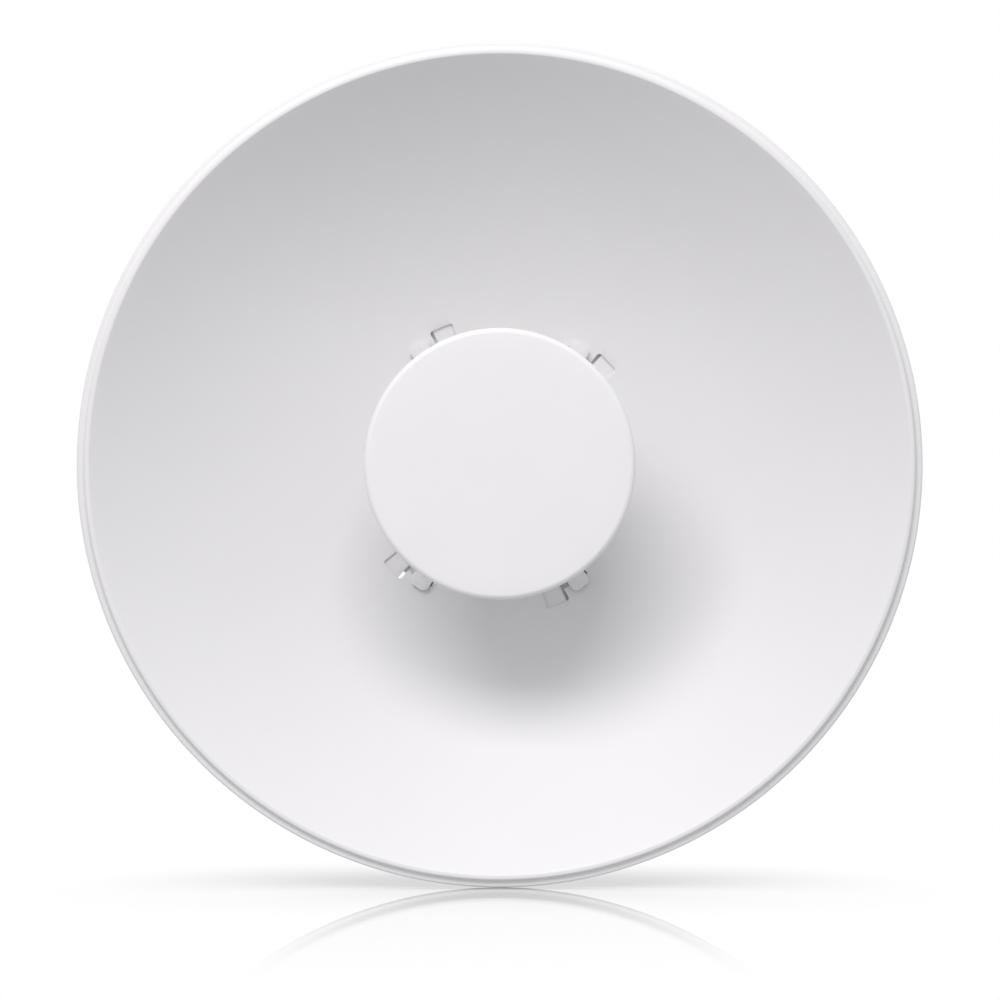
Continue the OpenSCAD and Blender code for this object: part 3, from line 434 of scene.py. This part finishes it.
# Cable grommet: a collar of black EPDM rubber snapped into the port cover's lower wall. Three thin
# lips inside it close on the cable.
bay_bottom, cable_z = -62, -52
collar_line = [(3.7, -2.2), (6.6, -2.2), (7.2, -1.6), (7.2, 0), (5.5, 0)]
collar_line += [(5.5, 2), (6.8, 2), (6.8, 2.9), (6.1, 3.6), (3.7, 3.6)]
for height in (2.6, 1.0, -0.6):
    collar_line += [(3.9, height), (3.5, height - 0.25), (3.5, height - 0.65), (3.9, height - 0.9)]
collar = lathe(collar_line, 64, closed=True)
soften(collar, 0.12, angle=50)
placed(collar, Matrix.Translation((0, bay_bottom, cable_z)), upright)
rubber, tree, shader, place = finish_of("black_epdm_rubber", "#29292b", 0.78)
bloom = node(tree, "ShaderNodeTexNoise", Vector=place, Scale=1/(6*mm), Detail=4.0)
tone = two_tones(tree, bloom.outputs["Fac"], "#242426", "#313133")
grain = node(tree, "ShaderNodeTexNoise", Vector=place, Scale=1/(0.6*mm), Detail=2.0)
bump = node(tree, "ShaderNodeBump", Strength=0.4, Distance=0.03*mm, Height=grain.outputs["Fac"])
connect(tree, shader, Base_Color=tone, Normal=bump.outputs[0])
piece("cable_collar", collar, rubber, "cover", "cable_grommet")

# Release button: a grey ABS pad snapped on the latch yoke's stem, on top of the hub. Four grooves
# across its face give a thumb some grip.
grey_abs, tree, shader, place = finish_of("grey_moulded_abs", "#8b8f94", 0.45)
cloud = node(tree, "ShaderNodeTexNoise", Vector=place, Scale=1/(12*mm), Detail=3.0)
tone = two_tones(tree, cloud.outputs["Fac"], "#868a8f", "#909499")
grain = node(tree, "ShaderNodeTexNoise", Vector=place, Scale=1/(0.7*mm), Detail=2.0)
bump = node(tree, "ShaderNodeBump", Strength=0.35, Distance=0.02*mm, Height=grain.outputs["Fac"])
connect(tree, shader, Base_Color=tone, Normal=bump.outputs[0])
pad = softened_copy("release_button", 0.5)
pad_top = max(v.co.z for v in pad.verts)
# The pad is in metres: its grooves are 1.4 mm wide, 3.2 mm apart and 0.5 mm deep, with 0.3 mm slopes.
grooves = [-0.0056 + 0.0032*i for i in range(4)]
groove_half, groove_slope, groove_depth = 0.0007, 0.0003, 0.0005


def top_faces():
    """The pad's faces that look up."""
    return [f for f in pad.faces if f.normal.z > 0.99 and f.calc_center_median().z > pad_top - 0.0001]


for x in grooves:
    for side in (-groove_half, groove_half):
        face_up = top_faces()
        edges = list({e for f in face_up for e in f.edges})
        bmesh.ops.bisect_plane(pad, geom=face_up + edges + list({v for f in face_up for v in f.verts}),
                               plane_co=(x + side, 0, 0), plane_no=(1, 0, 0), dist=0.00001)
strips = [f for f in top_faces() if any(abs(f.calc_center_median().x - x) < 0.0004 for x in grooves)]
bmesh.ops.inset_individual(pad, faces=strips, thickness=groove_slope, depth=-groove_depth,
                           use_even_offset=True)
piece("release_pad", pad, grey_abs, "release", "release_button", to_frame=straight)

# Reset button: a small grey cap on the tact switch, with a dished tip.
reset_x, reset_z = 13.5, -49
tip_line = [(0, -6.35), (0.7, -6.4), (1.2, -6.6), (1.45, -6.8)]
tip_line += [(1.7, -6.5), (1.7, -2.7), (1.6, -2.6), (0, -2.6)]
tip = placed(lathe(tip_line, 32), Matrix.Translation((reset_x, 0, reset_z)), upright)
piece("reset_cap", tip, grey_abs, "reset", "reset_button")

# Release spring: 0.8 mm music wire wound to 5.5 mm outside, zinc plated, with a dead coil at each end.
# It pushes the yoke up and shortens as the pad is pressed; here it is drawn at one length.
spring_seat, yoke_edge, latch_z = -51.9, -40.9, -23
wire_r, coil_r, live_turns = 0.4, 2.3, 4
dead_pitch = 2*wire_r + 0.05
live_pitch = (yoke_edge - spring_seat - 2*wire_r - 2*dead_pitch)/live_turns
wire_sides, turn_steps = 12, 32
coil = bmesh.new()
section = bmesh.ops.create_circle(coil, cap_ends=False, radius=wire_r, segments=wire_sides)["verts"]
placed(coil, Matrix.Translation((coil_r, 0, wire_r)), Matrix.Rotation(pi/2, 4, "X"))
last = section + list(coil.edges)
for turns, pitch in ((1, dead_pitch), (live_turns, live_pitch), (1, dead_pitch)):
    last = spun(coil, last, 2*pi*turns, turn_steps*turns, rise=pitch/turn_steps)
bmesh.ops.remove_doubles(coil, verts=coil.verts, dist=0.001)
bmesh.ops.holes_fill(coil, edges=coil.edges, sides=wire_sides)
bmesh.ops.recalc_face_normals(coil, faces=coil.faces)
placed(coil, Matrix.Translation((0, spring_seat, latch_z)), upright)

# Bright zinc plate: a smooth cool silver with faint cloudy patches from the bath.
zinc_plate, tree, shader, place = finish_of("bright_zinc_plate", "#c3c6ca", 0.27, 1.0)
cloud = node(tree, "ShaderNodeTexNoise", Vector=place, Scale=1/(7*mm), Detail=4.0, Roughness=0.6)
tone = two_tones(tree, cloud.outputs["Fac"], "#b9bcc1", "#cccfd2")
haze = node(tree, "ShaderNodeMapRange", Value=cloud.outputs["Fac"], To_Min=0.2, To_Max=0.36)
connect(tree, shader, Base_Color=tone, Roughness=haze.outputs[0])
spring = piece("coil_spring", coil, zinc_plate, "hub_assembly", "release_spring")
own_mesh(spring)

# Tilt ears, pole bracket and clamp jaw: 2.5 and 3 mm steel sheet, punched and folded, then zinc plated
# to a satin grey. The punched edges are a little rounded.
sheet_zinc, tree, shader, place = finish_of("satin_zinc_plated_sheet", "#b3b6ba", 0.42, 1.0)
spangle = node(tree, "ShaderNodeTexVoronoi", {"feature": "F1"}, Vector=place, Scale=1/(7*mm))
patch = node(tree, "ShaderNodeSeparateColor", Color=spangle.outputs["Color"])
tone = two_tones(tree, patch.outputs[0], "#adb0b4", "#babdc1")
rolled = node(tree, "ShaderNodeMapping", Vector=place, Scale=(1/(25*mm), 1/(25*mm), 1/(0.6*mm)))
streak = node(tree, "ShaderNodeTexNoise", Vector=rolled.outputs[0], Scale=1.0, Detail=3.0)
satin = node(tree, "ShaderNodeMapRange", Value=streak.outputs["Fac"], To_Min=0.34, To_Max=0.5)
bump = node(tree, "ShaderNodeBump", Strength=0.15, Distance=0.02*mm, Height=streak.outputs["Fac"])
connect(tree, shader, Base_Color=tone, Roughness=satin.outputs[0], Normal=bump.outputs[0])
softened_piece("hub_ears", "tilt_ears", 0.4, sheet_zinc, "hub_assembly")
softened_piece("pole_plate", "pole_bracket", 0.4, sheet_zinc, "pole_mount")
softened_piece("jaw_plate", "clamp_jaw", 0.4, sheet_zinc, "jaw")


# Nuts and bolts: zinc-plated steel. A hexagon is cut from bar, so a 30 degree chamfer rounds its
# corners, and the threads are rolled.
def hexagon(across, height, hole, chamfers=(True, True)):
    """A nut or bolt head on Z from 0 to its height; a hole of 0 leaves it solid."""
    shape = bmesh.new()
    bmesh.ops.create_circle(shape, cap_ends=False, radius=across/2/cos(pi/6), segments=6)
    bmesh.ops.subdivide_edges(shape, edges=shape.edges, cuts=7, use_grid_fill=False)
    outer, chamfer_slope = across/2*0.985, 0.577
    lower = list(shape.edges)
    rings = []
    for level, cut_here, way in ((0, chamfers[0], 1), (height, chamfers[1], -1)):
        if level:
            grown = bmesh.ops.extrude_edge_only(shape, edges=lower)["geom"]
            ring = [g for g in grown if isinstance(g, bmesh.types.BMEdge)]
        else:
            ring = lower
        for vert in {v for e in ring for v in e.verts}:
            radius = hypot(vert.co.x, vert.co.y)
            vert.co.z = level + (way*max(0, radius - outer)*chamfer_slope if cut_here else 0)
        rings.append(ring)
    inner = []
    for ring, level, way in ((rings[0], 0, 1), (rings[1], height, -1)):
        for radius, depth in ((outer - 0.3, 0),) + (((hole + 0.5, 0), (hole, 0.5)) if hole else ()):
            grown = bmesh.ops.extrude_edge_only(shape, edges=ring)["geom"]
            ring = [g for g in grown if isinstance(g, bmesh.types.BMEdge)]
            for vert in {v for e in ring for v in e.verts}:
                flat = Vector((vert.co.x, vert.co.y)).normalized()*radius
                vert.co = (flat.x, flat.y, level + way*depth)
        inner.append(ring)
    if hole:
        bmesh.ops.bridge_loops(shape, edges=inner[0] + inner[1])
    else:
        for ring in inner:
            bmesh.ops.holes_fill(shape, edges=ring, sides=0)
    bmesh.ops.recalc_face_normals(shape, faces=shape.faces)
    return shape


def threaded(radius, pitch, turns, steps=24):
    """A rolled thread on Z from 0 to its length, with both ends cut flat."""
    root = radius - 0.61*pitch
    shape = bmesh.new()
    tooth = [(root, 0), (root, 0.2), (radius, 0.48), (radius, 0.62), (root, 0.9), (root, 1)]
    points = [shape.verts.new((r, 0, pitch*(h - 1))) for r, h in tooth]
    edges = [shape.edges.new(pair) for pair in zip(points, points[1:])]
    spun(shape, points + edges, 2*pi*(turns + 1), steps*(turns + 1), rise=pitch/steps)
    bmesh.ops.remove_doubles(shape, verts=shape.verts, dist=pitch*0.002)
    for level, way in ((0, -1), (pitch*turns, 1)):
        everything = list(shape.verts) + list(shape.edges) + list(shape.faces)
        bmesh.ops.bisect_plane(shape, geom=everything, plane_co=(0, 0, level), plane_no=(0, 0, way),
                               clear_outer=True, dist=0.0001)
    bmesh.ops.holes_fill(shape, edges=[e for e in shape.edges if e.is_boundary], sides=0)
    bmesh.ops.recalc_face_normals(shape, faces=shape.faces)
    return shape


def shank(radius, start, end):
    """The plain length of a bolt on Z, with a taper down into its thread."""
    taper = 0.2
    foot = [(0, start - taper), (radius - 2*taper, start - taper), (radius, start + taper)]
    return lathe(foot + [(radius, end), (0, end)], 48)


def joined(*shapes):
    """Puts several shapes into the first one."""
    for other in shapes[1:]:
        carried = bpy.data.meshes.new("carried")
        other.to_mesh(carried)
        other.free()
        shapes[0].from_mesh(carried)
        bpy.data.meshes.remove(carried)
    return shapes[0]


def turned(x, y, z):
    """Stands a shape drawn on Z along X instead, with its foot at a point."""
    return Matrix.Translation((x, y, z)) @ Matrix.Rotation(pi/2, 4, "Y")


# Tilt bolts: an M8 pivot bolt and an M6 lock bolt across the ears, each with a nut and threaded for the
# last 18 mm.
pivot_z, ear_out, washer_t, lock_y, bolt_gap, thread_length = -70, 35.3, 1.6, 20, 0.05, 18
head_x = ear_out + washer_t
for name, y, width, pitch, across, head_h, nut_h in (("pivot", 0, 8, 1.25, 13, 5.2, 6.4),
                                                     ("lock", lock_y, 6, 1.0, 10.02, 3.9, 4.8)):
    tip_x = -head_x - width - 1
    turns = round(thread_length/pitch)
    bolt = joined(placed(threaded(width/2, pitch, turns), turned(tip_x, y, pivot_z)),
                  placed(shank(width/2, turns*pitch, head_x - tip_x + 0.1), turned(tip_x, y, pivot_z)),
                  placed(hexagon(across, head_h, 0, (False, True)), turned(head_x, y, pivot_z)))
    piece(name + "_hex_bolt", bolt, zinc_plate, "hub_assembly", name + "_bolt")
    nut = placed(hexagon(across, nut_h, width/2 + bolt_gap), turned(-head_x - nut_h, y, pivot_z))
    piece(name + "_hex_nut", nut, zinc_plate, "hub_assembly", name + "_nut")


# Washers are stamped from strip, so their edges are slightly rounded.
def washer(outer, hole):
    """A washer on Z from 0 to its thickness."""
    ring = lathe([(hole, 0), (outer, 0), (outer, washer_t), (hole, washer_t)], 64, closed=True)
    soften(ring, 0.25)
    return ring


rings = [placed(washer(width, width/2 + bolt_gap), turned(x, y, pivot_z))
         for y, width in ((0, 8), (lock_y, 6)) for x in (ear_out, -head_x)]
piece("tilt_rings", joined(*rings), zinc_plate, "hub_assembly", "tilt_washers")

# Clamp bolts: M8 carriage bolts, with a domed head in front of the web and a square neck in it. Each
# takes a washer and a nut behind the jaw.
web_z, bolt_x, jaw_back, bolt_length, web_t, nut_h = -86.5, 45, -144.8, 80, 3, 6.8
bolt_r, thread_pitch, thread_turns = 4, 1.25, 52
carriage, behind, nuts = [], [], []
for x in (-bolt_x, bolt_x):
    head_line = [(0, -0.1), (8.3, -0.1), (8.5, 0.2), (8.3, 1)] + arc(0, -3.9, 9.6, 34, 62, 4)
    head = lathe(head_line + [(3, 4.36), (1.5, 4.46), (0, 4.5)], 64)
    neck = bmesh.new()
    bmesh.ops.create_cube(neck, size=1)
    placed(neck, Matrix.Diagonal((2*bolt_r, 2*bolt_r, web_t, 1)))
    soften(neck, 0.5)
    plain = shank(bolt_r, thread_pitch*thread_turns, bolt_length - web_t + 0.2)
    thread = threaded(bolt_r, thread_pitch, thread_turns)
    carriage += [placed(shape, Matrix.Translation((x, 0, z)))
                 for shape, z in ((head, web_z), (neck, web_z - web_t/2), (plain, web_z - bolt_length),
                                  (thread, web_z - bolt_length))]
    behind.append(placed(washer(2*bolt_r, bolt_r + 0.3), Matrix.Translation((x, 0, jaw_back - washer_t))))
    nut = hexagon(13, nut_h, bolt_r + bolt_gap)
    nuts.append(placed(nut, Matrix.Translation((x, 0, jaw_back - washer_t - nut_h))))
piece("carriage_bolts", joined(*carriage), zinc_plate, "pole_mount", "clamp_bolts")
piece("jaw_rings", joined(*behind), zinc_plate, "jaw", "clamp_washers")
piece("jaw_nuts", joined(*nuts), zinc_plate, "jaw", "clamp_nuts")
softened_piece("ear_screws", "bracket_screws", 0.15, zinc_plate, "hub_assembly")

# Latch yoke: a flat ring of grey acetal that slides inside the hub. Its tongue drops into the groove
# round the feed tube's spigot.
acetal, tree, shader, place = finish_of("grey_acetal", "#b9bbbe", 0.36)
flow = node(tree, "ShaderNodeTexNoise", Vector=place, Scale=1/(15*mm), Detail=2.0)
tone = two_tones(tree, flow.outputs["Fac"], "#b4b6b9", "#bfc1c4")
connect(tree, shader, Base_Color=tone)
softened_piece("latch_ring", "latch_yoke", 0.25, acetal, "release")


def dress(material, *cad_nodes):
    """Gives CAD nodes, whose shapes stay, a finish."""
    for name in cad_nodes:
        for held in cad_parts[name].material_slots:
            held.material = material


# Seals and the end cap: moulded in the grommet's rubber.
dress(rubber, "cap_seal", "spigot_seal", "end_cap")

# Light pipes: clear polycarbonate, polished where it is moulded, that carries the board's lamps to
# the hood.
clear, tree, shader, place = finish_of("clear_polycarbonate", "#f2f7fa", 0.08,
                                       Transmission_Weight=0.9, IOR=1.585)
swirl = node(tree, "ShaderNodeTexNoise", Vector=place, Scale=1/(5*mm), Detail=2.0)
polish = node(tree, "ShaderNodeMapRange", Value=swirl.outputs["Fac"], To_Min=0.04, To_Max=0.14)
connect(tree, shader, Roughness=polish.outputs[0])
dress(clear, "light_pipes")

# Radio boards: FR4 glass laminate under green solder mask. Copper tracks 0.4 mm wide lighten it, and
# bare plated vias 0.6 mm across dot it.
laminate, tree, shader, place = finish_of("green_solder_mask_board", "#1d5b3a", 0.34,
                                          Coat_Weight=0.4, Coat_Roughness=0.15)
turned_place = node(tree, "ShaderNodeMapping", Vector=place, Rotation=(pi/2, 0, 0))
tracks = node(tree, "ShaderNodeTexBrick", {"offset": 0.5, "squash": 0.6, "squash_frequency": 3},
              Vector=turned_place.outputs[0], Scale=1/(12*mm), Color1=(0, 0, 0, 1), Color2=(0, 0, 0, 1),
              Mortar=(1, 1, 1, 1), Mortar_Size=0.017, Brick_Width=0.35, Row_Height=0.16)
masked = two_tones(tree, tracks.outputs["Fac"], "#174d31", "#2f7a50")
cells = node(tree, "ShaderNodeTexVoronoi", {"feature": "F1"}, Vector=place, Scale=1/(4*mm), Randomness=0.8)
via = node(tree, "ShaderNodeMath", {"operation": "LESS_THAN"}, i0=cells.outputs["Distance"], i1=0.075)
dotted = node(tree, "ShaderNodeMix", {"data_type": "RGBA"}, Factor=via.outputs[0], i6=masked,
              i7=linear("#c9b27a"))
relief = node(tree, "ShaderNodeBump", Strength=0.5, Distance=0.03*mm, Height=tracks.outputs["Fac"])
connect(tree, shader, Base_Color=dotted.outputs["Result"], Normal=relief.outputs[0])
dress(laminate, "radio_board", "radiator_board")

# Chips, the transformer and the reset switch: black epoxy moulding compound with a fine matt grain.
epoxy, tree, shader, place = finish_of("black_epoxy_mould_compound", "#26272a", 0.55)
grain = node(tree, "ShaderNodeTexNoise", Vector=place, Scale=1/(0.4*mm), Detail=2.0)
tone = two_tones(tree, grain.outputs["Fac"], "#212225", "#2c2d30")
bump = node(tree, "ShaderNodeBump", Strength=0.3, Distance=0.02*mm, Height=grain.outputs["Fac"])
connect(tree, shader, Base_Color=tone, Normal=bump.outputs[0])
dress(epoxy, "radio_chips", "reset_switch")

# Shield can and network jack: tin-plated steel strip, stamped and folded. The tin is soft and shows
# fine scratches along the strip.
tin, tree, shader, place = finish_of("tin_plated_steel", "#c0c1c3", 0.3, 1.0)
along = node(tree, "ShaderNodeMapping", Vector=place, Scale=(1/(0.3*mm), 1/(0.3*mm), 1/(20*mm)))
scratch = node(tree, "ShaderNodeTexNoise", Vector=along.outputs[0], Scale=1.0, Detail=3.0)
tone = two_tones(tree, scratch.outputs["Fac"], "#b6b7b9", "#cacbcc")
rough = node(tree, "ShaderNodeMapRange", Value=scratch.outputs["Fac"], To_Min=0.22, To_Max=0.4)
connect(tree, shader, Base_Color=tone, Roughness=rough.outputs[0])
dress(tin, "shield_can", "ethernet_jack")

# Heat spreader and sub-reflector: aluminium, one extruded with fins and the other spun. Both are left
# plain, with the tools' fine lines in them.
plain_aluminium, tree, shader, place = finish_of("plain_mill_aluminium", "#c9cbce", 0.35, 1.0)
along = node(tree, "ShaderNodeMapping", Vector=place, Scale=(1/(0.4*mm), 1/(0.4*mm), 1/(30*mm)))
drawn = node(tree, "ShaderNodeTexNoise", Vector=along.outputs[0], Scale=1.0, Detail=2.0)
tone = two_tones(tree, drawn.outputs["Fac"], "#bfc1c4", "#d2d4d6")
rough = node(tree, "ShaderNodeMapRange", Value=drawn.outputs["Fac"], To_Min=0.28, To_Max=0.42)
connect(tree, shader, Base_Color=tone, Roughness=rough.outputs[0])
dress(plain_aluminium, "heat_spreader", "sub_reflector")

# Dipole radiator: etched copper on a brass post, a little tarnished.
tarnished, tree, shader, place = finish_of("tarnished_copper", "#b8733a", 0.35, 1.0)
stain = node(tree, "ShaderNodeTexNoise", Vector=place, Scale=1/(4*mm), Detail=4.0)
tone = two_tones(tree, stain.outputs["Fac"], "#a8622e", "#c98550")
connect(tree, shader, Base_Color=tone)
dress(tarnished, "dipole_radiator")

# Board screws: M2.5 pan heads in the bolts' zinc plate.
dress(zinc_plate, "board_screws")
